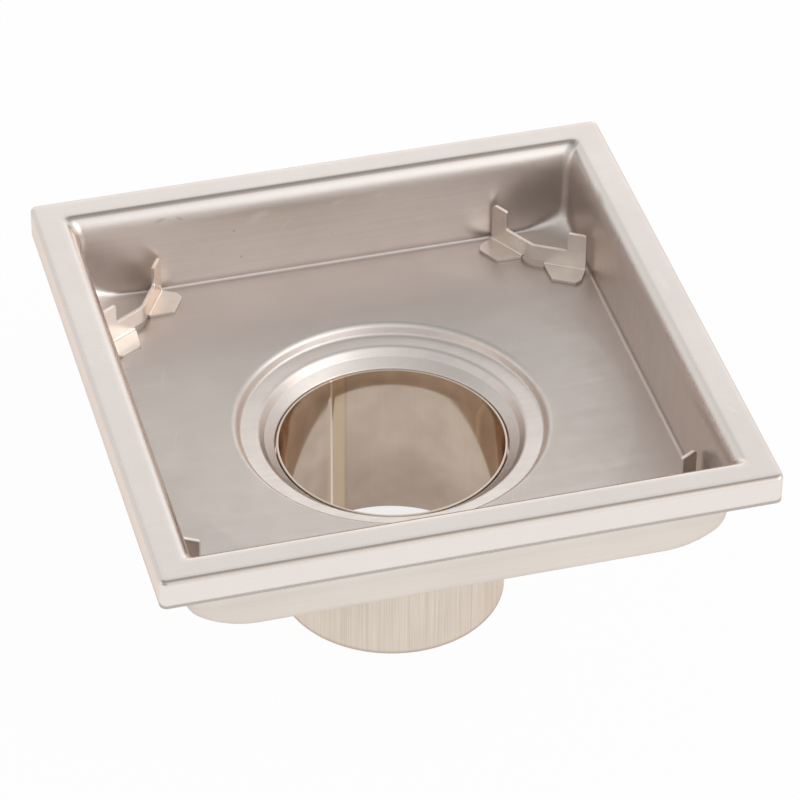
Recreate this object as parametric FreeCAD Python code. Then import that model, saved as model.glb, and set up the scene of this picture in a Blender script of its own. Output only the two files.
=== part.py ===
import FreeCAD, Part
import math
import os

# Square floor drain body: a drawn pan, a welded outlet tube and four corner brackets.
# Millimetres, +Z up, origin at the centre of the tube's lower end. Depths are counted down
# from the upper face of the flange, bracket heights up from the basin's floor.

# whole part
flange_side = 130.0
total_height = 67.8

# pan sheet and flange
pan_sheet = 0.8
flange_bend_radius = 1.0
flange_corner_radius = 1.6
skirt_height = 6.8

# basin drawn into the flange; its walls stand this far inside the flange's edge
flange_to_wall = 8.8
draw_radius = 3.6
basin_depth = 21.9
floor_bend_radius = 1.2
wall_corner_radius = 2.0
corner_ball_radius = 9.4
corner_ball_reach = 9.2
corner_ball_dip = 0.08

# dished floor and stepped recess, from the walls inwards and from the tube outwards
dish_margin = 4.2
floor_fall = 0.9
step_run = 1.1
step_drop = 2.4
ledge_width = 3.7
ledge_fall = 0.2
funnel_run = 1.4
funnel_drop = 1.75
lip_width = 2.45
lip_slope = 0.77
lip_bend = 0.8
tightest_bend = 0.3
collar_length = 3.4

# outlet tube; its upper end is eased down a little to stand in the collar
tube_outer_radius = 25.0
tube_wall = 0.6
tube_top_drop = 1.6
seat_relief = 0.05
seat_clearance = 0.05
seat_margin = 0.1
seat_taper = 0.8

# corner brackets
bracket_sheet = 0.8
bracket_setback = 16.83
bracket_fold_angle = 15.0
bracket_fold_radius = 4.0
prong_wall_gap = 0.76
prong_height = 10.0
prong_width = 4.3
strip_top_height = 5.2
strip_bottom_height = 1.3
notch_round = 0.6
prong_outer_round = 1.0
prong_inner_round = 0.35
foot_start = 2.9
foot_bend_radius = 0.4
foot_length = 5.1
foot_taper_inner = 3.0
foot_taper_outer = 1.1
foot_shoulder = 3.6
foot_round = 0.8

basin_half_width = flange_side / 2 - flange_to_wall
basin_corner_distance = basin_half_width * math.sqrt(2.0)
corner_ball_start = basin_corner_distance - corner_ball_reach
bracket_apex_distance = basin_corner_distance - bracket_setback
collar_radius = tube_outer_radius - seat_relief + seat_clearance

bracket_turns = {
    "bracket_back_right": 0.0,
    "bracket_back_left": 90.0,
    "bracket_front_left": 180.0,
    "bracket_front_right": 270.0,
}


def height(depth):
    return total_height - depth


def turn(vector, angle):
    c, s = math.cos(angle), math.sin(angle)
    return (vector[0] * c - vector[1] * s, vector[0] * s + vector[1] * c)


def arc_between(centre, radius, start_angle, sweep, place):
    # arc through three points, each sent to space by the given placing function
    def at(angle):
        return place(centre[0] + radius * math.cos(angle), centre[1] + radius * math.sin(angle))
    return Part.Arc(at(start_angle), at(start_angle + sweep / 2), at(start_angle + sweep)).toShape()


def rounded_path(points, radii, place, closed=False):
    # straight runs joined by tangent arcs; a radius of zero keeps the corner sharp
    count = len(points)
    starts, ends, arcs = [], [], []
    for i, (x, y) in enumerate(points):
        radius = radii[i]
        if radius <= 0 or (not closed and i in (0, count - 1)):
            starts.append((x, y))
            ends.append((x, y))
            arcs.append(None)
            continue
        before = points[i - 1]
        after = points[(i + 1) % count]
        ux, uy = before[0] - x, before[1] - y
        vx, vy = after[0] - x, after[1] - y
        lu, lv = math.hypot(ux, uy), math.hypot(vx, vy)
        ux, uy, vx, vy = ux / lu, uy / lu, vx / lv, vy / lv
        between = math.acos(max(-1.0, min(1.0, ux * vx + uy * vy)))
        run = radius / math.tan(between / 2)
        a = (x + ux * run, y + uy * run)
        b = (x + vx * run, y + vy * run)
        mx, my = ux + vx, uy + vy
        lm = math.hypot(mx, my)
        reach = radius / math.sin(between / 2)
        centre = (x + mx / lm * reach, y + my / lm * reach)
        start = math.atan2(a[1] - centre[1], a[0] - centre[0])
        sweep = math.atan2(b[1] - centre[1], b[0] - centre[0]) - start
        while sweep > math.pi:
            sweep -= 2 * math.pi
        while sweep < -math.pi:
            sweep += 2 * math.pi
        starts.append(a)
        ends.append(b)
        arcs.append(arc_between(centre, radius, start, sweep, place))
    edges = []
    for i in range(count if closed else count - 1):
        if arcs[i] is not None:
            edges.append(arcs[i])
        a, b = ends[i], starts[(i + 1) % count]
        if math.hypot(a[0] - b[0], a[1] - b[1]) > 1e-7:
            edges.append(Part.makeLine(place(*a), place(*b)))
    if not closed and arcs[-1] is not None:
        edges.append(arcs[-1])
    return edges


def offset_points(points, distance):
    # the same run of points moved sideways, to the left of the direction of travel
    directions = []
    for a, b in zip(points, points[1:]):
        length = math.hypot(b[0] - a[0], b[1] - a[1])
        directions.append(((b[0] - a[0]) / length, (b[1] - a[1]) / length))
    moved = []
    for i, (x, y) in enumerate(points):
        first = directions[max(i - 1, 0)]
        second = directions[min(i, len(directions) - 1)]
        nx, ny = -first[1] - second[1], first[0] + second[0]
        scale = distance * 2 / (nx * nx + ny * ny)
        moved.append((x + nx * scale, y + ny * scale))
    return moved


def bend_radii_after_offset(points, radii, distance):
    # a bend tightens on its inner side and widens on its outer side; creases stay crisp
    result = [0.0] * len(points)
    for i in range(1, len(points) - 1):
        a, b, c = points[i - 1], points[i], points[i + 1]
        cross = (b[0] - a[0]) * (c[1] - b[1]) - (b[1] - a[1]) * (c[0] - b[0])
        change = -distance if cross > 0 else distance
        bent = radii[i] + change if radii[i] else 0.0
        result[i] = bent if bent >= tightest_bend else 0.0
    return result


def rounded_square(half, radius, z):
    # eight edges, counter-clockwise from the right-hand side
    c = half - radius
    edges = []
    for quarter in range(4):
        angle = quarter * math.pi / 2

        def place(x, y, angle=angle):
            px, py = turn((x, y), angle)
            return FreeCAD.Vector(px, py, z)
        edges.append(Part.makeLine(place(half, -c), place(half, c)))
        edges.append(arc_between((c, c), radius, 0.0, math.pi / 2, place))
    return Part.Wire(edges)


def extruded(wire, rise):
    return Part.Face(wire).extrude(FreeCAD.Vector(0, 0, rise))


def pressed_block(skin):
    # straight walls with a bend at the foot, their lower corners rounded off by a ball-nosed turn
    floor = height(basin_depth + skin)
    walls = rounded_square(basin_half_width + skin, wall_corner_radius + skin, floor)
    block = extruded(walls, basin_depth + skin)
    block = block.makeFillet(floor_bend_radius + skin, edges_at(block, floor))
    # the ball dips a little past the floor, so it meets the floor in a faint crease
    ball = corner_ball_radius + skin
    low = floor - corner_ball_dip
    limit = Part.makeCylinder(corner_ball_start + ball, 2 * basin_depth, FreeCAD.Vector(0, 0, low))
    limit = limit.makeFillet(ball, edges_at(limit, low))
    return block.common(limit)


def recess_points():
    # radius and height down the recess, worked out from the tube outwards
    funnel_radius = collar_radius + lip_width
    ledge_radius = funnel_radius + funnel_run
    foot_radius = ledge_radius + ledge_width
    floor = height(basin_depth)
    step_top = floor - floor_fall
    step_foot = step_top - step_drop
    ledge_edge = step_foot - ledge_fall
    funnel_top = ledge_edge - funnel_drop
    collar_top = funnel_top - lip_width * lip_slope
    points = [
        (basin_half_width - dish_margin, floor),
        (foot_radius + step_run, step_top),
        (foot_radius, step_foot),
        (ledge_radius, ledge_edge),
        (funnel_radius, funnel_top),
        (collar_radius, collar_top),
        (collar_radius, collar_top - collar_length),
    ]
    radii = [0.0, 0.0, 0.0, 0.0, 0.0, lip_bend, 0.0]
    return points, radii


def recess_solid(skin):
    # everything inside the recess skin, down to the lower end of the collar
    points, radii = recess_points()
    if skin:
        radii = bend_radii_after_offset(points, radii, skin)
        points = offset_points(points, skin)
        points[-1] = (points[-1][0], recess_points()[0][-1][1])

    def place(r, z):
        return FreeCAD.Vector(r, 0, z)
    edges = rounded_path(points, radii, place)
    top, bottom = points[0], points[-1]
    below = bottom[1] if skin else bottom[1] - 1.0
    if not skin:
        edges.append(Part.makeLine(place(*bottom), place(bottom[0], below)))
    edges.append(Part.makeLine(place(bottom[0], below), place(0, below)))
    edges.append(Part.makeLine(place(0, below), place(0, top[1])))
    edges.append(Part.makeLine(place(0, top[1]), place(*top)))
    face = Part.Face(Part.Wire(Part.__sortEdges__(edges)))
    return face.revolve(FreeCAD.Vector(0, 0, 0), FreeCAD.Vector(0, 0, 1), 360)


def basin_solid(skin):
    # the basin's inside when skin is zero, its outside when skin is the sheet thickness
    return pressed_block(skin).fuse(recess_solid(skin))


def flange_shell():
    half = flange_side / 2
    block = extruded(rounded_square(half, flange_corner_radius, height(skirt_height)), skirt_height)
    block = block.makeFillet(flange_bend_radius, edges_at(block, height(0.0)))
    inner_corner = flange_corner_radius - pan_sheet
    inner = rounded_square(half - pan_sheet, inner_corner, height(skirt_height))
    hollow = extruded(inner, skirt_height - pan_sheet)
    return block.cut(hollow)


def edges_at(shape, z):
    found = []
    for edge in shape.Edges:
        if all(abs(vertex.Point.z - z) < 1e-6 for vertex in edge.Vertexes):
            found.append(edge)
    return found


def opening_edges(shape, z, half):
    # the loop of edges round the basin's mouth at one height
    found = []
    for edge in edges_at(shape, z):
        box = edge.BoundBox
        reach = max(box.XMax, -box.XMin, box.YMax, -box.YMin)
        if abs(reach - half) < 1e-4:
            found.append(edge)
    return found


def drain_pan():
    pan = flange_shell().fuse(basin_solid(pan_sheet)).cut(basin_solid(0.0)).removeSplitter()
    outside = opening_edges(pan, height(pan_sheet), basin_half_width + pan_sheet)
    pan = pan.makeFillet(draw_radius - pan_sheet, outside)
    return pan.makeFillet(draw_radius, opening_edges(pan, height(0.0), basin_half_width))


def outlet_tube():
    # a rolled tube whose upper end, eased down by the seat relief, stands in the collar
    points = recess_points()[0]
    top = points[4][1] - tube_top_drop
    seat_foot = points[6][1] - seat_margin
    taper_foot = seat_foot - seat_taper
    seat_radius = tube_outer_radius - seat_relief

    def above(z):
        return FreeCAD.Vector(0, 0, z)
    lower = Part.makeCylinder(tube_outer_radius, taper_foot)
    taper = Part.makeCone(tube_outer_radius, seat_radius, seat_taper, above(taper_foot))
    seat = Part.makeCylinder(seat_radius, top - seat_foot, above(seat_foot))
    bore = Part.makeCylinder(tube_outer_radius - tube_wall, top + 2, above(-1))
    return lower.fuse([taper, seat]).cut(bore)


def bracket_arm_length():
    # an arm runs out until its outer face is the stated gap away from the basin's wall
    fold = math.radians(bracket_fold_angle)
    reach = math.sqrt(2.0) * (basin_half_width - prong_wall_gap) - bracket_apex_distance
    reach -= bracket_sheet * (math.cos(fold) - math.sin(fold))
    return reach / (math.sin(fold) + math.cos(fold))


def arm_frame(side):
    # side +1 or -1: direction along the arm and outward normal, seen from above
    fold = math.radians(bracket_fold_angle)
    along = (math.sin(fold), side * math.cos(fold))
    outward = (math.cos(fold), -side * math.sin(fold))
    return along, outward


def arm_plate(side):
    # the upright plate of one arm with its prong
    along, outward = arm_frame(side)
    start = bracket_fold_radius * math.tan(math.radians(bracket_fold_angle))
    end = bracket_arm_length()
    prong_edge = end - prong_width
    bend_top = foot_bend_height()
    floor = height(basin_depth)
    points = [
        (start, floor + strip_bottom_height),
        (foot_start, floor + strip_bottom_height),
        (foot_start, bend_top),
        (end, bend_top),
        (end, floor + prong_height),
        (prong_edge, floor + prong_height),
        (prong_edge, floor + strip_top_height),
        (start, floor + strip_top_height),
    ]
    radii = [0, 0, 0, 0, prong_outer_round, prong_inner_round, notch_round, 0]

    def place(s, z):
        return FreeCAD.Vector(bracket_apex_distance + along[0] * s, along[1] * s, z)
    face = Part.Face(Part.Wire(rounded_path(points, radii, place, closed=True)))
    return face.extrude(FreeCAD.Vector(outward[0], outward[1], 0) * bracket_sheet)


def foot_bend_height():
    return height(basin_depth) + bracket_sheet + foot_bend_radius


def arm_foot(side):
    # the bend under the arm and the flat foot turned towards the drain's centre
    along, outward = arm_frame(side)
    inward = (-outward[0], -outward[1])
    bend_z = foot_bend_height()
    end = bracket_arm_length()

    def section(n, z):
        x = bracket_apex_distance + along[0] * foot_start + inward[0] * n
        y = along[1] * foot_start + inward[1] * n
        return FreeCAD.Vector(x, y, z)
    inner, outer = foot_bend_radius, foot_bend_radius + bracket_sheet
    centre = (foot_bend_radius, bend_z)
    edges = [
        arc_between(centre, inner, math.pi, math.pi / 2, section),
        Part.makeLine(section(inner, bend_z - inner), section(inner, bend_z - outer)),
        arc_between(centre, outer, 1.5 * math.pi, -math.pi / 2, section),
        Part.makeLine(section(inner - outer, bend_z), section(0, bend_z)),
    ]
    width = end - foot_start
    run = FreeCAD.Vector(along[0], along[1], 0) * width
    bend = Part.Face(Part.Wire(edges)).extrude(run)
    points = [
        (foot_start, foot_bend_radius),
        (foot_start + foot_taper_inner, foot_length),
        (end - foot_taper_outer, foot_length),
        (end, foot_shoulder),
        (end, foot_bend_radius),
    ]
    radii = [0, foot_round, foot_round, foot_round, 0]

    def place(s, n):
        x = bracket_apex_distance + along[0] * s + inward[0] * n
        y = along[1] * s + inward[1] * n
        return FreeCAD.Vector(x, y, bend_z - outer)
    flat = Part.Face(Part.Wire(rounded_path(points, radii, place, closed=True)))
    flat = flat.extrude(FreeCAD.Vector(0, 0, bracket_sheet))
    return bend.fuse(flat)


def fold_piece():
    # the soft bend between the two arms
    fold = math.radians(bracket_fold_angle)
    centre = (bracket_apex_distance + bracket_fold_radius / math.cos(fold), 0.0)
    z = height(basin_depth) + strip_bottom_height

    def place(x, y):
        return FreeCAD.Vector(x, y, z)
    outer = bracket_fold_radius
    inner = bracket_fold_radius - bracket_sheet

    def at(radius, angle):
        return place(centre[0] + radius * math.cos(angle), centre[1] + radius * math.sin(angle))
    first, last = math.pi - fold, math.pi + fold
    edges = [
        arc_between(centre, outer, first, last - first, place),
        Part.makeLine(at(outer, last), at(inner, last)),
        arc_between(centre, inner, last, first - last, place),
        Part.makeLine(at(inner, first), at(outer, first)),
    ]
    face = Part.Face(Part.Wire(edges))
    return face.extrude(FreeCAD.Vector(0, 0, strip_top_height - strip_bottom_height))


def corner_bracket(degrees):
    blank = fold_piece().fuse([arm_plate(1), arm_plate(-1), arm_foot(1), arm_foot(-1)])
    blank = blank.removeSplitter()
    blank.rotate(FreeCAD.Vector(0, 0, 0), FreeCAD.Vector(0, 0, 1), 45.0 + degrees)
    return blank


def save(shape, name):
    if shape.ShapeType == "Compound" and len(shape.Solids) == 1:
        shape = shape.Solids[0]
    if len(shape.Solids) != 1 or not shape.isValid():
        raise RuntimeError(name + " is not one valid solid")
    shape.exportStep("parts/" + name + ".step")
    print(name, round(shape.Volume, 1), "cubic mm")


os.makedirs("parts", exist_ok=True)
save(drain_pan(), "drain_pan")
save(outlet_tube(), "outlet_tube")
for bracket_name, bracket_turn in bracket_turns.items():
    save(corner_bracket(bracket_turn), bracket_name)
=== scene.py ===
import bpy
import bmesh
import math
from mathutils import Matrix, Vector


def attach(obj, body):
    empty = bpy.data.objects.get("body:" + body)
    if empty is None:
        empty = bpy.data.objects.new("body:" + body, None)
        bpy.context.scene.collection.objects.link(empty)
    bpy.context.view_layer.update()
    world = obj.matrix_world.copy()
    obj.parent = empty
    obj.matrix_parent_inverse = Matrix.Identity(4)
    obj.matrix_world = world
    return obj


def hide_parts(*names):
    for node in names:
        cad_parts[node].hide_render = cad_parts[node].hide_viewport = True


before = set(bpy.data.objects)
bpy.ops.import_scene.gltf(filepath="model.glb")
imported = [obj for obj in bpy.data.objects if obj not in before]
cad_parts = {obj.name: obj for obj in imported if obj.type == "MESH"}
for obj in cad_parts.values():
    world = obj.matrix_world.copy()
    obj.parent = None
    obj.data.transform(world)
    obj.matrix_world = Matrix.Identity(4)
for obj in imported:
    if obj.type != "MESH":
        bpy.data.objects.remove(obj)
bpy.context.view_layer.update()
mm = 0.001
quarterTurn = math.pi / 2


# The pressed pan. Heights are above the tube's lower end, half widths are from the tube's axis, all in mm.
panSizes = {
    "flangeHalf": 65.0, "flangeTop": 67.8, "skirtFoot": 61.0, "flangeBend": 1.0, "flangeCorner": 1.6,
    "basinHalf": 56.2, "drawReach": 3.1, "drawDrop": 6.0, "wallCorner": 1.8, "floor": 45.9, "footBend": 0.8,
    "ballRadius": 9.4, "ballStart": 70.28, "ballDip": 0.08, "ballBlend": 2.2,
    "sheet": 0.8,
    "wallStep": 0.36, "wallSteps": 22, "sideSteps": 64, "cornerSteps": 20,
    "evenShare": 0.45, "spreadCorner": 6.0, "evenFrom": 52.0, "evenWithin": 12.0,  # how the vertices are spread
}

recessSizes = {  # radius and height of each corner of the section, the bend there and the steps in it
    "outside": (56.0, 45.9),
    "corners": [((52.0, 45.9), 30.0, 4), ((33.65, 45.0), 1.7, 9), ((32.55, 42.6), 0.9, 7),
                ((28.85, 42.4), 1.4, 7), ((27.45, 40.65), 1.0, 4), ((25.2, 38.92), 0.8, 7)],
    "collarFoot": (25.2, 35.36),
}


def arcPoints(before, corner, after, radius, steps):
    start, turning, end = Vector(before), Vector(corner), Vector(after)
    back, ahead = (start - turning).normalized(), (end - turning).normalized()
    halfAngle = back.angle(ahead) / 2
    run = radius / math.tan(halfAngle)
    centre = turning + (back + ahead).normalized() * (radius / math.sin(halfAngle))
    first, last = turning + back * run - centre, turning + ahead * run - centre
    return [centre + first.slerp(last, i / steps) * radius for i in range(steps + 1)]


def recessRings(sizes):
    corners = sizes["corners"]
    path = [sizes["outside"]] + [point for point, bend, steps in corners] + [sizes["collarFoot"]]
    points = []
    for i, (corner, bend, steps) in enumerate(corners):
        points += arcPoints(path[i], corner, path[i + 2], bend, steps)
    return [("circle", *point) for point in points + [Vector(sizes["collarFoot"])]]


def panRings(sizes):  # the pan's upper face as rings, from the foot of the skirt to the foot of the collar
    half, top = sizes["flangeHalf"], sizes["flangeTop"]
    bend, corner = sizes["flangeBend"], sizes["flangeCorner"]
    basin, wall = sizes["basinHalf"], sizes["wallCorner"]
    reach, drop = sizes["drawReach"], sizes["drawDrop"]
    floor, foot = sizes["floor"], sizes["footBend"]
    rings = []
    for i in range(5):  # skirt
        height = sizes["skirtFoot"] + (top - bend - sizes["skirtFoot"]) * i / 4
        rings.append(("square", half, corner, height))
    for i in range(1, 9):  # bend at the flange's edge
        turned = quarterTurn * i / 8
        eased = bend * (1 - math.cos(turned))
        rings.append(("square", half - eased, corner - eased, top - bend + bend * math.sin(turned)))
    for i in range(1, 6):  # flat flange
        rings.append(("square", half - bend + (basin + reach - half + bend) * i / 6,
                      corner - bend + (wall - corner + bend) * i / 6, top))
    for i in range(19):  # draw bend down into the basin, tight at the flange and wide at the wall
        turned = quarterTurn * i / 18
        height = top - drop + drop * math.cos(turned)
        rings.append(("square", basin + reach - reach * math.sin(turned), wall, height))
    lower = [floor + 9 - sizes["wallStep"] * i for i in range(sizes["wallSteps"])]
    for height in [top - drop - 3, floor + 10] + lower:  # walls
        if floor + foot < height:
            rings.append(("square", basin, wall, height))
    for i in range(9):  # bend at the walls' foot
        turned = quarterTurn * i / 8
        rings.append(("square", basin - foot + foot * math.cos(turned), wall - foot + foot * math.cos(turned),
                      floor + foot - foot * math.sin(turned)))
    return rings + [("blend", i / 5) for i in range(1, 5)] + recessRings(recessSizes)


# Where each vertex of a ring stands: which side, and how far along it or round its corner.
def squareSteps(sizes):
    steps, even = [], sizes["evenShare"]
    for quarter in range(4):
        for i in range(sizes["sideSteps"]):
            along = 2 * i / sizes["sideSteps"] - 1
            share = even * along + (1 - even) * math.sin(along * quarterTurn)
            steps.append((quarter, "side", share))
        steps += [(quarter, "corner", i / sizes["cornerSteps"]) for i in range(sizes["cornerSteps"])]
    return steps


def squarePoint(step, half, radius):
    quarter, part, share = step
    straight = half - radius
    if part == "side":
        point = Vector((half, straight * share, 0))
    else:
        turned = share * quarterTurn
        point = Vector((straight + radius * math.cos(turned), straight + radius * math.sin(turned), 0))
    return Matrix.Rotation(quarter * quarterTurn, 3, "Z") @ point


def ballReach(sizes, height):  # how far out the ball-shaped lower corners let the wall go
    radius = sizes["ballRadius"]
    centre = sizes["floor"] - sizes["ballDip"] + radius
    if height >= centre:
        return sizes["ballStart"] + radius
    return sizes["ballStart"] + math.sqrt(max(radius ** 2 - (centre - height) ** 2, 0))


def smallerOf(a, b, blend):  # the smaller of the two, rounded over where they are nearly equal
    near = max(blend - abs(a - b), 0) / blend
    return min(a, b) - near * near * blend / 4


def ringPoint(sizes, steps, index, ring):
    if ring[0] == "square":
        form, half, radius, height = ring
        point = squarePoint(steps[index], half, radius)
        if height < sizes["floor"] + sizes["ballRadius"]:
            point *= smallerOf(point.length, ballReach(sizes, height), sizes["ballBlend"]) / point.length
        return Vector((point.x, point.y, height))
    form, radius, height = ring
    square = squarePoint(steps[index], sizes["basinHalf"], sizes["spreadCorner"])
    angle = math.atan2(square.y, square.x)
    even = (index - sizes["sideSteps"] / 2) / len(steps) * 4 * quarterTurn
    even -= round((even - angle) / (4 * quarterTurn)) * 4 * quarterTurn
    angle += (even - angle) * min(max((sizes["evenFrom"] - radius) / sizes["evenWithin"], 0), 1)
    return Vector((radius * math.cos(angle), radius * math.sin(angle), height))


def finishPiece(bm, name, replaced):
    mesh = bpy.data.meshes.new(name)
    bm.to_mesh(mesh)
    bm.free()
    for polygon in mesh.polygons:
        polygon.use_smooth = True
    piece = bpy.data.objects.new(name, mesh)
    bpy.context.scene.collection.objects.link(piece)
    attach(piece, "root")
    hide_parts(replaced)
    return piece


def buildPan(sizes):
    steps, rings = squareSteps(sizes), panRings(sizes)
    lastSquare = [ring for ring in rings if ring[0] == "square"][-1]
    firstCircle = [ring for ring in rings if ring[0] == "circle"][0]
    bm = bmesh.new()
    bmesh.ops.create_circle(bm, segments=len(steps), radius=sizes["flangeHalf"] * mm)
    place = bm.verts.layers.int.new("place")
    for index, vert in enumerate(bm.verts):
        vert[place] = index
        vert.co = ringPoint(sizes, steps, index, rings[0]) * mm
    edges = list(bm.edges)
    for ring in rings[1:]:
        grown = bmesh.ops.extrude_edge_only(bm, edges=edges)["geom"]
        edges = [item for item in grown if isinstance(item, bmesh.types.BMEdge)]
        for vert in [item for item in grown if isinstance(item, bmesh.types.BMVert)]:
            if ring[0] == "blend":
                outer = ringPoint(sizes, steps, vert[place], lastSquare)
                vert.co = outer.lerp(ringPoint(sizes, steps, vert[place], firstCircle), ring[1]) * mm
            else:
                vert.co = ringPoint(sizes, steps, vert[place], ring) * mm
    bmesh.ops.recalc_face_normals(bm, faces=bm.faces)
    if max(bm.faces, key=lambda face: face.calc_center_median().z).normal.z < 0:
        bmesh.ops.reverse_faces(bm, faces=bm.faces)
    piece = finishPiece(bm, "drainPanSheet", "drain_pan")
    wall = piece.modifiers.new("sheet", "SOLIDIFY")
    wall.thickness = sizes["sheet"] * mm
    wall.offset = -1.0
    wall.use_even_offset = True
    wall.material_offset = 1  # the hidden side and the cut edge have their own finish
    wall.material_offset_rim = 1
    return piece


pan = buildPan(panSizes)
print("pan", len(pan.data.polygons), "faces before its thickness")


tubeSizes = {
    "outer": 25.0, "inner": 24.4, "seatOuter": 24.95, "seatFoot": 35.26, "taperFoot": 34.46, "top": 39.05,
    "edge": 0.14, "edgeSteps": 3, "turnSteps": 720, "heightStep": 5.0,
    "seamAngle": 107.9, "seamWidth": 0.4, "seamInside": 0.07, "seamOutside": 0.04,  # the angle in degrees
}


def buildTube(sizes):
    edge, top, step = sizes["edge"], sizes["top"], sizes["heightStep"]
    outer, inner, seat = sizes["outer"], sizes["inner"], sizes["seatOuter"]
    turns = [quarterTurn * i / sizes["edgeSteps"] for i in range(sizes["edgeSteps"] + 1)]
    easing = [(edge * math.sin(turned), edge * math.cos(turned)) for turned in turns]
    section = [(outer, i * step + edge) for i in range(7)]
    section += [(outer, sizes["taperFoot"]), (seat, sizes["seatFoot"])]
    section += [(seat - edge + across, top - edge + up) for up, across in easing]
    section += [(inner + edge - across, top - edge + up) for across, up in easing]
    section += [(inner, top - step * i) for i in range(1, 8)]
    section += [(inner + edge - across, edge - down) for down, across in easing]
    section += [(outer - edge + across, edge - down) for across, down in easing[:-1]]
    bm = bmesh.new()
    verts = [bm.verts.new((radius * mm, 0, height * mm)) for radius, height in section]
    edges = [bm.edges.new((verts[i - 1], verts[i])) for i in range(len(verts))]
    bmesh.ops.spin(bm, geom=verts + edges, cent=(0, 0, 0), axis=(0, 0, 1), dvec=(0, 0, 0),
                   angle=4 * quarterTurn, steps=sizes["turnSteps"], use_merge=True, use_duplicate=False)
    bmesh.ops.remove_doubles(bm, verts=bm.verts, dist=0.001 * mm)
    seam, middle = math.radians(sizes["seamAngle"]), (sizes["outer"] + sizes["inner"]) / 2 * mm
    for vert in bm.verts:  # the weld bead stands a little proud of both sides of the wall
        radius = math.hypot(vert.co.x, vert.co.y)
        turned = math.remainder(math.atan2(vert.co.y, vert.co.x) - seam, 4 * quarterTurn)
        away = turned * radius / mm / sizes["seamWidth"]
        proud = math.exp(-away * away) * mm
        grown = sizes["seamOutside"] * proud if radius > middle and vert.co.z < sizes["taperFoot"] * mm else 0
        grown = -sizes["seamInside"] * proud if radius < middle else grown
        vert.co.xy *= (radius + min(grown, sizes["outer"] * mm - radius)) / radius
    bmesh.ops.recalc_face_normals(bm, faces=bm.faces)
    return finishPiece(bm, "outletTubeWall", "outlet_tube")


tube = buildTube(tubeSizes)
print("tube", len(tube.data.polygons), "faces")


bracketSizes = {
    "nodes": ["bracket_back_right", "bracket_back_left", "bracket_front_left", "bracket_front_right"],
    "flatWithin": 1.0, "sharpFrom": 38.0, "edge": 0.11,  # degrees, degrees, mm
}


def buildBracket(node, sizes):
    bm = bmesh.new()
    bm.from_mesh(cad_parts[node].data)
    bmesh.ops.remove_doubles(bm, verts=bm.verts, dist=0.001 * mm)
    flatWithin, sharpFrom = math.radians(sizes["flatWithin"]), math.radians(sizes["sharpFrom"])
    bmesh.ops.dissolve_limit(bm, angle_limit=flatWithin, verts=bm.verts, edges=bm.edges)
    sharp = [edge for edge in bm.edges if edge.is_manifold and edge.calc_face_angle() > sharpFrom]
    bmesh.ops.bevel(bm, geom=sharp, offset=sizes["edge"] * mm, offset_type="OFFSET", affect="EDGES",
                    segments=2, profile=0.5, material=-1, clamp_overlap=True)
    corner = "".join(word.capitalize() for word in node.split("_")[1:])
    piece = finishPiece(bm, "corner" + corner + "Bracket", node)
    shading = piece.modifiers.new("flatShading", "WEIGHTED_NORMAL")
    shading.keep_sharp = False
    return piece


brackets = [buildBracket(node, bracketSizes) for node in bracketSizes["nodes"]]
print("brackets", [len(piece.data.polygons) for piece in brackets])


def addNode(tree, kind, inputs=None, **settings):
    made = tree.nodes.new("ShaderNode" + kind)
    for name, value in settings.items():
        setattr(made, name, value)
    for name, value in (inputs or {}).items():
        if isinstance(value, bpy.types.NodeSocket):
            tree.links.new(value, made.inputs[name])
        else:
            made.inputs[name].default_value = value
    return made


def calc(tree, operation, *values):
    return addNode(tree, "Math", dict(enumerate(values)), operation=operation).outputs[0]


def times(tree, first, *others):
    for value in others:
        first = calc(tree, "MULTIPLY", first, value)
    return first


def largest(tree, first, *others):
    for value in others:
        first = calc(tree, "MAXIMUM", first, value)
    return first


def sway(tree, value, amount, base):  # moves the base up and down as the value passes a half
    return calc(tree, "MULTIPLY_ADD", calc(tree, "SUBTRACT", value, 0.5), amount, base)


def ramp(tree, value, low, high, lowTo=0.0, highTo=1.0):
    inputs = {"Value": value, "From Min": low, "From Max": high, "To Min": lowTo, "To Max": highTo}
    return addNode(tree, "MapRange", inputs, interpolation_type="SMOOTHSTEP").outputs["Result"]


def noise(tree, place, scale, detail, roughness=0.5):
    inputs = {"Vector": place, "Scale": scale, "Detail": detail, "Roughness": roughness}
    return addNode(tree, "TexNoise", inputs).outputs[0]


def stretched(tree, place, stretch):
    return addNode(tree, "VectorMath", {0: place, 1: stretch}, operation="MULTIPLY").outputs[0]


def shrunk(tree, place, size):
    inputs = {0: place, "Scale": calc(tree, "DIVIDE", 1.0, size)}
    return addNode(tree, "VectorMath", inputs, operation="SCALE").outputs[0]


def turnedAbout(tree, place, angle):
    return addNode(tree, "VectorRotate", {"Vector": place, "Angle": angle}, rotation_type="Z_AXIS").outputs[0]


def fromAxis(tree, along):
    level = addNode(tree, "CombineXYZ", {0: along[0], 1: along[1]}).outputs[0]
    return addNode(tree, "VectorMath", {0: level}, operation="LENGTH").outputs["Value"]


def newGroup(name, inputs, output):
    group = bpy.data.node_groups.new(name, "ShaderNodeTree")
    for label, kind in inputs:
        group.interface.new_socket(name=label, in_out="INPUT", socket_type="NodeSocket" + kind)
    group.interface.new_socket(name=output, in_out="OUTPUT", socket_type="NodeSocketFloat")
    given = group.nodes.new("NodeGroupInput").outputs
    return group, given, group.nodes.new("NodeGroupOutput").inputs[output]


def useGroup(tree, name, **values):
    made = tree.nodes.new("ShaderNodeGroup")
    made.node_tree = finishes[name]
    for key, value in values.items():
        label = "".join(" " + letter if letter.isupper() else letter for letter in key).strip().capitalize()
        if isinstance(value, bpy.types.NodeSocket):
            tree.links.new(value, made.inputs[label])
        else:
            made.inputs[label].default_value = value
    return made.outputs[0]


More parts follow.
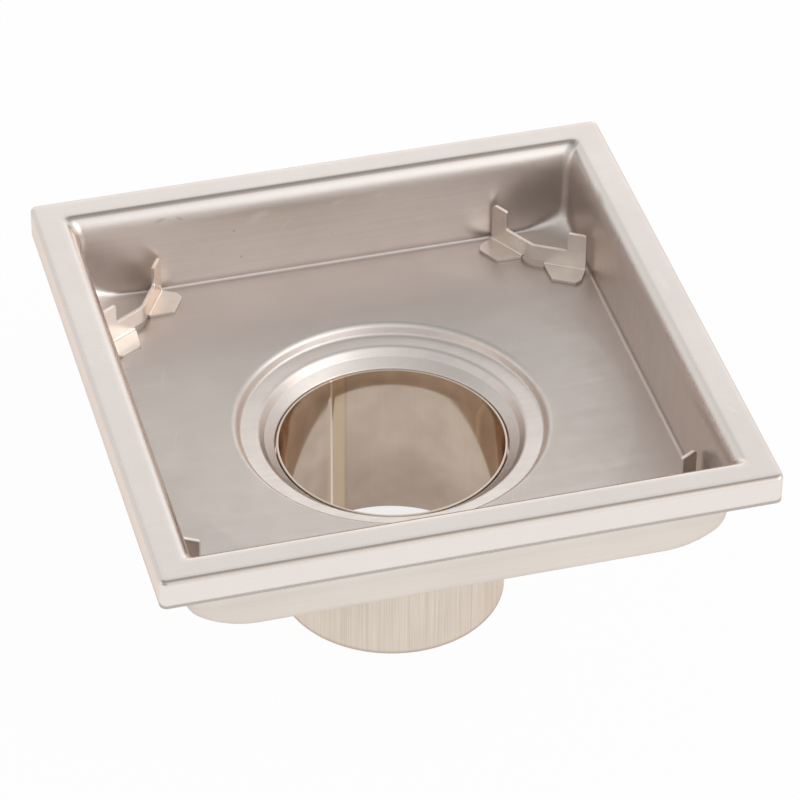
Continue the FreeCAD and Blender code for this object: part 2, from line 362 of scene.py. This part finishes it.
def buildGrain():  # the fine lines that rolling and brushing leave, along the axis with the smallest stretch
    inputs = [("Place", "Vector"), ("Stretch", "Vector"), ("Broad", "Float")]
    group, given, result = newGroup("rolledGrain", inputs, "Grain")
    drawn = stretched(group, given["Place"], given["Stretch"])
    fine, broad = noise(group, drawn, 1.0, 1.5, 0.6), noise(group, drawn, 0.23, 0.0)
    group.links.new(sway(group, broad, given["Broad"], fine), result)
    return group


def buildClouds():  # uneven tone and gloss in broad soft patches
    group, given, result = newGroup("unevenTone", [("Place", "Vector"), ("Patch size", "Float")], "Tone")
    clouds = noise(group, shrunk(group, given["Place"], given["Patch size"]), 1.0, 2.0, 0.6)
    group.links.new(ramp(group, clouds, 0.3, 0.7), result)
    return group


def buildScratches():  # sparse hair lines, all running one way
    inputs = [("Place", "Vector"), ("Turn", "Float"), ("Rarity", "Float")]
    group, given, result = newGroup("hairScratches", inputs, "Mask")
    turned = turnedAbout(group, given["Place"], given["Turn"])
    lines = noise(group, stretched(group, turned, (0.05, 2.6, 2.6)), 1.0, 1.0)
    patches = noise(group, turned, 0.09, 0.0)
    lined = ramp(group, lines, given["Rarity"], calc(group, "ADD", given["Rarity"], 0.05))
    group.links.new(times(group, lined, ramp(group, patches, 0.45, 0.6)), result)
    return group


def buildSpecks():  # dust, pits and burrs: a dot in a few of the cells
    inputs = [("Place", "Vector"), ("Spacing", "Float"), ("Share", "Float"), ("Dot", "Float")]
    group, given, result = newGroup("sparseSpecks", inputs, "Mask")
    cells = addNode(group, "TexVoronoi", {"Vector": shrunk(group, given["Place"], given["Spacing"]), "Scale": 1.0})
    reach = calc(group, "DIVIDE", given["Dot"], given["Spacing"])
    near = ramp(group, calc(group, "DIVIDE", cells.outputs["Distance"], reach), 1.0, 0.5)
    drawnLot = addNode(group, "SeparateColor", {0: cells.outputs["Color"]}).outputs[0]
    group.links.new(times(group, near, calc(group, "LESS_THAN", drawnLot, given["Share"])), result)
    return group


def buildScuffAndShadePatch():  # one soft patch at a given place, fullest in its middle, for the scuffs and for the patches of painted shade
    inputs = [("Place", "Vector"), ("Centre", "Vector"), ("Turn", "Vector"), ("Reach", "Vector")]
    group, given, result = newGroup("scuffAndShadePatchGroup", inputs, "Mask")
    moved = addNode(group, "VectorMath", {0: given["Place"], 1: given["Centre"]}, operation="SUBTRACT").outputs[0]
    turned = addNode(group, "VectorRotate", {"Vector": moved, "Rotation": given["Turn"]}, rotation_type="EULER_XYZ")
    sized = addNode(group, "VectorMath", {0: turned.outputs[0], 1: given["Reach"]}, operation="DIVIDE").outputs[0]
    away = addNode(group, "VectorMath", {0: sized}, operation="LENGTH").outputs["Value"]
    group.links.new(ramp(group, away, 1.0, 0.2), result)
    return group


finishes = {"grain": buildGrain(), "clouds": buildClouds(), "scratches": buildScratches(),
            "specks": buildSpecks(), "scuffAndShadePatch": buildScuffAndShadePatch()}
edgeTint = (0.90, 0.82, 0.76, 1)  # what the steel reflects at a glancing angle


def startSteel(name):
    material = bpy.data.materials.new(name)
    material.use_nodes = True
    tree = material.node_tree
    shader = tree.nodes["Principled BSDF"]
    shader.inputs["Metallic"].default_value = 1.0
    shader.inputs["Specular Tint"].default_value = edgeTint
    towards = addNode(tree, "TexCoord").outputs["Object"]
    place = addNode(tree, "VectorMath", {0: towards, "Scale": 1 / mm}, operation="SCALE").outputs[0]
    return material, tree, shader, place


def mixColour(tree, share, first, second):
    made = addNode(tree, "Mix", None, data_type="RGBA")
    for socket, value in ((made.inputs[0], share), (made.inputs[6], first), (made.inputs[7], second)):
        if isinstance(value, bpy.types.NodeSocket):
            tree.links.new(value, socket)
        else:
            socket.default_value = value if isinstance(value, float) else (*value, 1)
    return made.outputs[2]


def mixValue(tree, share, first, second):
    rest = calc(tree, "SUBTRACT", 1.0, share)
    return calc(tree, "ADD", times(tree, share, second), times(tree, rest, first))


def finishSteel(tree, shader, colour, roughness, height, bump):
    tree.links.new(colour, shader.inputs["Base Color"])
    tree.links.new(calc(tree, "MINIMUM", largest(tree, roughness, 0.05), 0.9), shader.inputs["Roughness"])
    made = addNode(tree, "Bump", {"Height": height, "Strength": 1.0, "Distance": bump * mm})
    tree.links.new(made.outputs[0], shader.inputs["Normal"])


panFinish = {  # heights and distances from the axis in mm
    # the zone colours are lighter and darker copies of one steel, set as painted light and shade: the floor darker as
    # painted shade at the basin's bottom, the skirt and the lower half of the edge bend lighter as a painted
    # highlight, the recess lighter as a painted highlight on its bends
    "flange": (0.745, 0.69, 0.655), "skirt": (0.87, 0.80, 0.76), "wall": (0.85, 0.79, 0.755),
    "floor": (0.595, 0.54, 0.508), "recess": (0.79, 0.73, 0.69),
    "dull": (0.60, 0.53, 0.475), "bright": (0.95, 0.90, 0.84), "paintedDarkLine": (0.45, 0.36, 0.29),
    "flangeFrom": 62.0, "smoothFrom": 64.0, "flangeFull": 66.5, "flangeOutFrom": 60.0, "flangeOutFull": 61.0,
    "skirtOutFrom": 63.9, "skirtOutFull": 64.6, "skirtUpTo": 67.2, "skirtFullTo": 66.7,
    "lineFrom": 67.1, "lineFull": 67.4, "lineFullTo": 67.7, "lineUpTo": 67.79, "paintedDarkLineShare": 0.6,
    "recessWithin": 34.8, "recessFull": 33.6, "floorUpTo": 48.1, "floorFull": 46.1,
    "flangeRough": 0.29, "basinRough": 0.40, "bump": 0.0015,
    "drawRough": 0.27, "drawWithin": 60.0, "drawFull": 59.2, "drawUpFrom": 65.2, "drawUpFull": 66.8,
    "grainAlong": 0.05, "grainAcross": 3.2, "broad": 0.6, "wallsFrom": 55.5,
    "cloudSize": 26.0, "smallCloudSize": 5.0, "cloudShare": 0.6, "smallCloudShare": 0.4,
    "scratches": [(0.35, 0.70), (1.9, 0.72)],  # turn in radians and rarity
    "specks": {"spacing": 7.0, "share": 0.22, "dot": 0.22},
    "scuffsAndPaintedShade": [  # centre, turn and reach, then 1 for a bright mark or less than 0 for a dull one; the dull ones at -0.8 and -0.6 are painted shade
        ((-15.8, 56.2, 61.6), (0, 0.5, 0), (5.0, 2.0, 1.6), 1), ((-9.3, 56.2, 58.6), (0, 0.9, 0), (3.2, 2.0, 0.7), 1),
        ((2.4, 56.2, 62.3), (0, 0.2, 0), (2.0, 2.0, 0.6), 1), ((12.3, 56.2, 62.6), (0, 0.1, 0), (2.4, 2.0, 0.5), 1),
        ((-37.6, 57.0, 64.6), (0, 0.3, 0), (2.0, 2.0, 0.6), -1),
        ((-33.2, 57.0, 64.4), (0, -0.4, 0), (1.4, 2.0, 0.5), -1),
        ((-21.1, 56.2, 58.9), (0, 0, 0), (0.5, 2.0, 0.4), -1), ((-19.6, 56.2, 51.6), (0, 0, 0), (0.4, 2.0, 0.5), -1),
        ((-12.8, 56.2, 49.3), (0, 0, 0), (0.4, 2.0, 0.4), 1), ((45.9, 56.2, 55.0), (0, 0, 0), (0.35, 2.0, 0.35), 1),
        ((-18.5, 50.5, 45.9), (0, 0, 0.4), (0.7, 0.4, 1.0), -1), ((17.4, 22.3, 42.4), (0, 0, 0.9), (0.6, 0.3, 1.0), 1),
        ((61.0, 4.0, 67.8), (0, 0, 1.5), (6.0, 1.2, 1.0), 1), ((61.5, -41.9, 67.8), (0, 0, 1.2), (2.5, 0.8, 1.0), 1),
        ((61.7, -43.1, 67.8), (0, 0, 0), (0.35, 0.35, 1.0), -1),
        ((57.6, 37.3, 66.9), (0, 0, 1.6), (4.0, 0.7, 2.0), -1),
        # painted shade: a dimmed highlight in the back left corner of the draw bend, and the back wall darkened near
        # both corners
        ((-55.4, 55.4, 65.6), (0, 0, 0), (2.6, 2.6, 3.2), -0.8),
        ((47.5, 56.2, 55.0), (0, 0.2, 0), (8.0, 3.0, 9.0), -0.6),
        ((-46.0, 56.2, 51.5), (0, 0.3, 0), (7.0, 3.0, 6.0), -0.6),
    ],
}


def panZones(tree, values, place):  # masks of the pan's parts, each 1 in its part and 0 outside
    along = addNode(tree, "SeparateXYZ", {0: place}).outputs
    height, aside, deep = along[2], calc(tree, "ABSOLUTE", along[0]), calc(tree, "ABSOLUTE", along[1])
    outward = largest(tree, aside, deep)
    flangeOut = ramp(tree, outward, values["flangeOutFrom"], values["flangeOutFull"])
    # painted reflection: a dark line along the upper half of the front and back edge bends
    line = times(tree, ramp(tree, height, values["lineFrom"], values["lineFull"]),
                 ramp(tree, height, values["lineUpTo"], values["lineFullTo"]), calc(tree, "LESS_THAN", aside, deep))
    return {
        "flange": largest(tree, ramp(tree, height, values["flangeFrom"], values["flangeFull"]), flangeOut),
        "smooth": largest(tree, ramp(tree, height, values["smoothFrom"], values["flangeFull"]), flangeOut),
        "sides": times(tree, calc(tree, "GREATER_THAN", outward, values["wallsFrom"]),
                       calc(tree, "GREATER_THAN", aside, deep)),
        # the recess, floor and skirt masks carry painted light and shade into the colour
        "recess": ramp(tree, fromAxis(tree, along), values["recessWithin"], values["recessFull"]),
        "floor": ramp(tree, height, values["floorUpTo"], values["floorFull"]),
        "skirt": times(tree, ramp(tree, outward, values["skirtOutFrom"], values["skirtOutFull"]),
                       ramp(tree, height, values["skirtUpTo"], values["skirtFullTo"])),
        "line": times(tree, line, values["paintedDarkLineShare"]),
        "draw": times(tree, ramp(tree, outward, values["drawWithin"], values["drawFull"]),
                      ramp(tree, height, values["drawUpFrom"], values["drawUpFull"])),
    }


def panMarksAndPaintedShade(tree, values, place):  # bright and dull scuffs, with the patches of painted shade among the dull ones
    bright = dull = 0.0
    for centre, turn, reach, kind in values["scuffsAndPaintedShade"]:
        mark = useGroup(tree, "scuffAndShadePatch", place=place, centre=centre, turn=turn, reach=reach)
        if kind > 0:
            bright = largest(tree, bright, mark)
        else:
            dull = largest(tree, dull, times(tree, mark, -kind))
    return bright, dull


def panInsideSteel(values):
    material, tree, shader, place = startSteel("panInsideSteel")
    zones = panZones(tree, values, place)
    # the sheet's grain runs across the floor and turns upright in the walls at the sides
    upright = mixValue(tree, zones["sides"], values["grainAcross"], values["grainAlong"])
    stretch = addNode(tree, "CombineXYZ", {0: values["grainAlong"], 1: values["grainAcross"], 2: upright}).outputs[0]
    grain = useGroup(tree, "grain", place=place, stretch=stretch, broad=values["broad"])
    clouds = useGroup(tree, "clouds", place=place, patchSize=values["cloudSize"])
    smallClouds = useGroup(tree, "clouds", place=place, patchSize=values["smallCloudSize"])
    scratches = largest(tree, *[useGroup(tree, "scratches", place=place, turn=turn, rarity=rarity)
                                for turn, rarity in values["scratches"]])
    specks = useGroup(tree, "specks", place=place, **values["specks"])
    bright, dull = panMarksAndPaintedShade(tree, values, place)
    uneven = calc(tree, "MULTIPLY_ADD", clouds, values["cloudShare"],
                  times(tree, smallClouds, values["smallCloudShare"]))
    bright = times(tree, bright, ramp(tree, grain, 0.3, 0.6, 0.2, 1.0))

    # painted light and shade by zone: the floor darker as shade, the skirt and the recess lighter as highlights, and a
    # dark painted reflection line on the front and back edge bends
    base = mixColour(tree, zones["flange"], values["wall"], values["flange"])
    for zone, colour in (("skirt", "skirt"), ("line", "paintedDarkLine"), ("floor", "floor"), ("recess", "recess")):
        base = mixColour(tree, zones[zone], base, values[colour])
    darker = calc(tree, "MULTIPLY_ADD", uneven, 0.12, sway(tree, grain, 0.30, 0.0))
    darker = times(tree, darker, mixValue(tree, zones["flange"], 1.0, 0.2))
    specked = times(tree, specks, mixValue(tree, zones["flange"], 0.7, 0.2))
    # the dull marks hold the painted shade in the back corners as well as the scuffs
    colour = mixColour(tree, largest(tree, darker, times(tree, dull, 0.8), specked), base, values["dull"])
    lighter = largest(tree, times(tree, bright, 0.45), times(tree, scratches, 0.10))
    colour = mixColour(tree, lighter, colour, values["bright"])

    rough = mixValue(tree, zones["smooth"], values["basinRough"], values["flangeRough"])
    rough = mixValue(tree, zones["draw"], rough, values["drawRough"])
    rough = sway(tree, uneven, 0.08, rough)
    rough = sway(tree, grain, mixValue(tree, zones["flange"], 0.10, 0.03), rough)
    rough = calc(tree, "MULTIPLY_ADD", bright, 0.12, rough)
    lines = times(tree, grain, mixValue(tree, zones["flange"], 1.0, 0.15))
    height = calc(tree, "MULTIPLY_ADD", scratches, -0.8, lines)
    finishSteel(tree, shader, colour, rough, height, values["bump"])
    return material


outsideFinish = {
    "colour": (0.80, 0.73, 0.67), "dull": (0.68, 0.61, 0.55), "rough": 0.34,
    "grain": (0.05, 0.05, 3.0), "broad": 0.6, "cloudSize": 30.0, "bump": 0.005,
    "scratches": {"turn": 0.1, "rarity": 0.70},
}


def panOutsideSteel(values):
    material, tree, shader, place = startSteel("panOutsideSteel")
    grain = useGroup(tree, "grain", place=place, stretch=values["grain"], broad=values["broad"])
    clouds = useGroup(tree, "clouds", place=place, patchSize=values["cloudSize"])
    scratches = useGroup(tree, "scratches", place=place, **values["scratches"])
    darker = calc(tree, "MULTIPLY_ADD", clouds, 0.25, sway(tree, grain, 0.5, 0.0))
    colour = mixColour(tree, darker, values["colour"], values["dull"])
    rough = calc(tree, "MULTIPLY_ADD", clouds, 0.05, sway(tree, grain, 0.14, values["rough"]))
    height = calc(tree, "MULTIPLY_ADD", scratches, -0.8, grain)
    finishSteel(tree, shader, colour, rough, height, values["bump"])
    return material


tubeFinish = {
    "inside": (0.69, 0.565, 0.465), "outside": (0.76, 0.675, 0.585), "dull": (0.42, 0.33, 0.26),
    "seam": (0.92, 0.86, 0.77), "straw": (0.70, 0.53, 0.36), "tintEdge": (0.34, 0.24, 0.16),
    "insideRough": 0.10, "outsideRough": 0.30, "insideUpTo": 24.6, "outsideFrom": 24.7, "bump": 0.003,
    "seamAngle": 107.9, "seamWidth": 0.35, "tintWidth": 3.8,  # degrees and mm
    "grain": (5.0, 5.0, 0.04), "broad": 0.22, "cloudSize": 14.0,
    "specks": {"spacing": 1.1, "share": 0.5, "dot": 0.22},
    "paintedFootShadeUpTo": 1.1, "paintedFootShadeFull": 0.2, "deepFrom": 22.0, "deepFull": 2.0,
}


def tubeSteel(values):
    material, tree, shader, place = startSteel("tubeSteel")
    along = addNode(tree, "SeparateXYZ", {0: place}).outputs
    radius = fromAxis(tree, along)
    outside = ramp(tree, radius, values["insideUpTo"], values["outsideFrom"])
    turned = turnedAbout(tree, place, -math.radians(values["seamAngle"]))
    turned = addNode(tree, "SeparateXYZ", {0: turned}).outputs
    arc = times(tree, calc(tree, "ARCTAN2", turned[1], turned[0]), radius)  # mm round the wall from the seam
    seam = ramp(tree, calc(tree, "ABSOLUTE", arc), values["seamWidth"], values["seamWidth"] * 0.4)
    side, width = times(tree, arc, -1.0), values["tintWidth"]  # the heat tint lies on one side of the seam
    tint = times(tree, ramp(tree, side, width, width * 0.75), ramp(tree, side, -1.6, 0.0))
    tintEdge = times(tree, ramp(tree, side, width * 0.8, width * 0.95), ramp(tree, side, width * 1.1, width * 0.95))
    grain = useGroup(tree, "grain", place=place, stretch=values["grain"], broad=values["broad"])
    clouds = useGroup(tree, "clouds", place=place, patchSize=values["cloudSize"])
    specks = useGroup(tree, "specks", place=place, **values["specks"])

    darker = times(tree, calc(tree, "SUBTRACT", grain, 0.42), mixValue(tree, outside, 0.15, 1.0))
    # painted shade: the inside darkened towards the tube's lower end
    deep = times(tree, ramp(tree, along[2], values["deepFrom"], values["deepFull"], 0.0, 0.5),
                 calc(tree, "SUBTRACT", 1.0, outside))
    cloudsAndPaintedShade = calc(tree, "MULTIPLY_ADD", clouds, mixValue(tree, outside, 0.40, 0.10), deep)
    colour = mixColour(tree, outside, values["inside"], values["outside"])
    colour = mixColour(tree, calc(tree, "ADD", cloudsAndPaintedShade, darker), colour, values["dull"])
    colour = mixColour(tree, times(tree, tint, 0.65), colour, values["straw"])
    burnt = times(tree, tintEdge, calc(tree, "MULTIPLY_ADD", specks, 0.5, 0.25))
    colour = mixColour(tree, burnt, colour, values["tintEdge"])
    colour = mixColour(tree, seam, colour, values["seam"])
    # painted shade on the outside at the tube's foot, next to the ground
    foot = ramp(tree, along[2], values["paintedFootShadeUpTo"], values["paintedFootShadeFull"], 0.0, 0.6)
    colour = mixColour(tree, times(tree, outside, foot), colour, values["dull"])

    rough = mixValue(tree, outside, values["insideRough"], values["outsideRough"])
    rough = calc(tree, "MULTIPLY_ADD", seam, 0.15, sway(tree, grain, 0.10, rough))
    height = times(tree, grain, mixValue(tree, outside, 0.1, 1.2))
    finishSteel(tree, shader, colour, rough, height, values["bump"])
    return material


bracketFinish = {
    # the foot colour is painted shade for the feet lying on the basin floor
    "colour": (0.94, 0.875, 0.82), "dull": (0.76, 0.69, 0.63), "foot": (0.70, 0.64, 0.595), "rough": 0.29,
    "grain": (0.3, 0.3, 2.6), "broad": 0.6, "cloudSize": 6.0, "bump": 0.003,
    "scratches": {"turn": 0.8, "rarity": 0.66}, "paintedShadeFeetUpTo": 46.9, "paintedShadeFeetFull": 46.6,
}


def bracketSteel(values):
    material, tree, shader, place = startSteel("bracketSteel")
    height = addNode(tree, "SeparateXYZ", {0: place}).outputs[2]
    grain = useGroup(tree, "grain", place=place, stretch=values["grain"], broad=values["broad"])
    clouds = useGroup(tree, "clouds", place=place, patchSize=values["cloudSize"])
    scratches = useGroup(tree, "scratches", place=place, **values["scratches"])
    darker = calc(tree, "MULTIPLY_ADD", clouds, 0.3, sway(tree, grain, 0.5, 0.0))
    colour = mixColour(tree, darker, values["colour"], values["dull"])
    # painted shade: the feet, down on the basin floor, are darkened towards the foot colour
    foot = ramp(tree, height, values["paintedShadeFeetUpTo"], values["paintedShadeFeetFull"])
    foot = times(tree, foot, calc(tree, "MULTIPLY_ADD", clouds, 0.25, 0.7))
    colour = mixColour(tree, foot, colour, values["foot"])
    rough = calc(tree, "MULTIPLY_ADD", clouds, 0.06, sway(tree, grain, 0.12, values["rough"]))
    lines = calc(tree, "MULTIPLY_ADD", scratches, -1.0, grain)
    finishSteel(tree, shader, colour, rough, lines, values["bump"])
    return material


pan.data.materials.append(panInsideSteel(panFinish))
pan.data.materials.append(panOutsideSteel(outsideFinish))
tube.data.materials.append(tubeSteel(tubeFinish))
stripSteel = bracketSteel(bracketFinish)
for bracket in brackets:
    bracket.data.materials.append(stripSteel)
print("materials")


cameraSizes = {  # angles in radians; the place is in flange sides from the middle of the flange's top
    "lens": 193.41, "yaw": 0.2708, "pitch": 0.6783, "roll": 0.0083,
    "place": (-1.4585, -5.3013, 4.2970), "side": 130.0,
}


def addCamera(sizes):
    yaw, pitch = sizes["yaw"], sizes["pitch"]
    forward = Vector((math.sin(yaw) * math.cos(pitch), math.cos(yaw) * math.cos(pitch), -math.sin(pitch)))
    right = Vector((math.cos(yaw), -math.sin(yaw), 0))
    turned = Matrix((right, right.cross(forward), -forward)).transposed() @ Matrix.Rotation(sizes["roll"], 3, "Z")
    data = bpy.data.cameras.new("photoCamera")
    data.sensor_width = 36.0
    data.lens = sizes["lens"]
    data.clip_start = 0.01
    data.clip_end = 20
    camera = bpy.data.objects.new("photoCamera", data)
    bpy.context.scene.collection.objects.link(camera)
    place = Vector(sizes["place"]) * sizes["side"] + Vector((0, 0, panSizes["flangeTop"]))
    camera.matrix_world = Matrix.Translation(place * mm) @ turned.to_4x4()
    bpy.context.scene.camera = camera


addCamera(cameraSizes)


studioSizes = {
    # the in-tube white shares paint a shadow on the paper inside the tube's circle
    "floorHalf": 3.0, "floorWhite": 0.9, "whiteSeen": 0.96, "whiteSeenInTube": 0.8,
    "whiteReflected": 0.95, "whiteReflectedInTube": 0.62,
    "everywhere": 0.12, "spread": 6.0,  # a larger spread number makes the soft lights smaller
    "lights": [(45, 8, 0.55), (-45, 8, 2.2), (180, 8, 1.05), (75, 22, 0.91), (122, 15, 0.62),
               (-23, 30, 0.95), (-112, 40, 0.66), (0, 90, 0.15)],  # bearing and height in degrees, strength
}


def addSoftAir(sizes):  # broad soft lights all round; the camera itself sees white
    world = bpy.data.worlds.new("studioAir")
    bpy.context.scene.world = world
    world.use_nodes = True
    tree = world.node_tree
    towards = addNode(tree, "TexCoord").outputs["Generated"]
    total = sizes["everywhere"]
    for bearing, rise, strength in sizes["lights"]:
        bearing, rise = math.radians(bearing), math.radians(rise)
        middle = (math.cos(bearing) * math.cos(rise), math.sin(bearing) * math.cos(rise), math.sin(rise))
        facing = addNode(tree, "VectorMath", {0: towards, 1: middle}, operation="DOT_PRODUCT").outputs["Value"]
        falling = calc(tree, "EXPONENT", calc(tree, "MULTIPLY_ADD", facing, sizes["spread"], -sizes["spread"]))
        total = calc(tree, "MULTIPLY_ADD", falling, strength, total)
    seen = addNode(tree, "LightPath").outputs["Is Camera Ray"]
    background = tree.nodes["Background"]
    background.inputs["Color"].default_value = (1, 1, 1, 1)
    tree.links.new(mixValue(tree, seen, total, 1.0), background.inputs["Strength"])


def addPaper(sizes):
    bm = bmesh.new()
    bmesh.ops.create_grid(bm, x_segments=1, y_segments=1, size=sizes["floorHalf"])
    mesh = bpy.data.meshes.new("studioPaper")
    bm.to_mesh(mesh)
    bm.free()
    floor = bpy.data.objects.new("studioPaper", mesh)
    bpy.context.scene.collection.objects.link(floor)
    paper = bpy.data.materials.new("studioPaper")
    paper.use_nodes = True
    tree = paper.node_tree
    shader, out = tree.nodes["Principled BSDF"], tree.nodes["Material Output"]
    shader.inputs["Base Color"].default_value = (sizes["floorWhite"],) * 3 + (1,)
    shader.inputs["Roughness"].default_value = 1.0
    shader.inputs["Specular IOR Level"].default_value = 0.0
    rays = addNode(tree, "LightPath").outputs
    place = addNode(tree, "TexCoord").outputs["Object"]
    away = addNode(tree, "VectorMath", {0: place}, operation="LENGTH").outputs["Value"]
    # painted shadow: inside the tube's circle the paper adds less white, so it shows darker there for the camera and
    # in reflections
    besideTube = calc(tree, "GREATER_THAN", away, tubeSizes["outer"] * mm)
    reflected = mixValue(tree, besideTube, sizes["whiteReflectedInTube"], sizes["whiteReflected"])
    reflecting = calc(tree, "MAXIMUM", rays["Is Glossy Ray"], rays["Is Transmission Ray"])
    seen = mixValue(tree, besideTube, sizes["whiteSeenInTube"], sizes["whiteSeen"])
    share = calc(tree, "MAXIMUM", calc(tree, "MULTIPLY", rays["Is Camera Ray"], seen),
                 calc(tree, "MULTIPLY", reflecting, reflected))
    white = addNode(tree, "Emission", {"Color": (1, 1, 1, 1), "Strength": 1.0})
    mixed = addNode(tree, "MixShader", {0: share, 1: shader.outputs[0], 2: white.outputs[0]})
    below = addNode(tree, "NewGeometry").outputs["Backfacing"]  # seen from below, the paper lets the view through
    clear = addNode(tree, "BsdfTransparent").outputs[0]
    mixed = addNode(tree, "MixShader", {0: below, 1: mixed.outputs[0], 2: clear})
    tree.links.new(mixed.outputs[0], out.inputs["Surface"])
    mesh.materials.append(paper)


addSoftAir(studioSizes)
addPaper(studioSizes)
bpy.context.scene.view_settings.view_transform = "Standard"
print("camera and studio")
